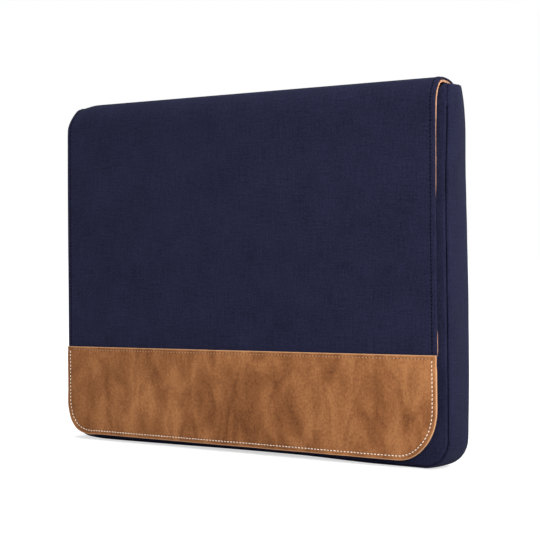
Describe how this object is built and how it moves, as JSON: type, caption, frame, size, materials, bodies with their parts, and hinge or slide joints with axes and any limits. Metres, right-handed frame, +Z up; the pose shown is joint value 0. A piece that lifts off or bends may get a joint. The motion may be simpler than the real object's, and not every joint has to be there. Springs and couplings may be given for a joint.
{
  "type": "laptop sleeve",
  "caption": "Padded canvas laptop sleeve with a side and bottom gusset and a full-front flap that folds over the mouth and carries a leather band along its lower third.",
  "frame": {"origin": "middle of the whole object's box, on the surface that the sleeve stands on", "axes": "+X along the sleeve's width, to the right as seen from the flap; +Y through it towards the back, so the flap's face looks along -Y; +Z up, towards the mouth"},
  "size_m": [0.336, 0.039, 0.2579],
  "materials": {
    "canvas": "plain woven cotton canvas, navy, matt with a faint nap",
    "foam": "closed-cell padding foam, charcoal",
    "plush_lining": "short-pile plush, dark navy",
    "stay_tape": "woven polyester tape",
    "hook_tape": "hook tape",
    "loop_tape": "brushed loop tape",
    "interlining": "non-woven stiffener",
    "flap_lining": "thin tan suede-faced sheet with a raw cut edge",
    "band_leather": "tan nubuck leather, mottled, with a paler raw edge",
    "cream_thread": "twisted polyester thread, cream",
    "tan_thread": "twisted polyester thread, tan",
    "navy_thread": "twisted polyester thread, navy"
  },
  "bodies": {
    "body": {"front_panel": "canvas", "back_panel": "canvas", "gusset_canvas": "canvas", "front_foam": "foam", "back_foam": "foam", "gusset_foam": "foam", "front_lining": "plush_lining", "back_lining": "plush_lining", "gusset_lining": "plush_lining", "back_stay_tape": "stay_tape", "hook_patch_left": "hook_tape", "hook_patch_right": "hook_tape", "tail_thread_upper": "navy_thread", "tail_thread_lower": "navy_thread", "flap_tail": "canvas"},
    "fold": {"fold_canvas": "canvas", "fold_interlining": "interlining", "fold_lining": "flap_lining"},
    "flap": {"flap_canvas": "canvas", "flap_interlining": "interlining", "flap_lining": "flap_lining", "leather_band": "band_leather", "loop_patch_left": "loop_tape", "loop_patch_right": "loop_tape", "band_thread": "cream_thread", "band_top_thread": "tan_thread", "flap_thread_left": "navy_thread", "flap_thread_right": "navy_thread"}
  },
  "joints": [
    {"name": "flap_back_fold", "type": "hinge", "parent": "body", "child": "fold", "pos_m": [0, 0.0103, 0.2535], "axis": [-1, 0, 0], "range_deg": [0, 210]},
    {"name": "flap_front_fold", "type": "hinge", "parent": "fold", "child": "flap", "pos_m": [0, -0.01393, 0.25244], "axis": [-1, 0, 0], "range_deg": [0, 120]}
  ]
}
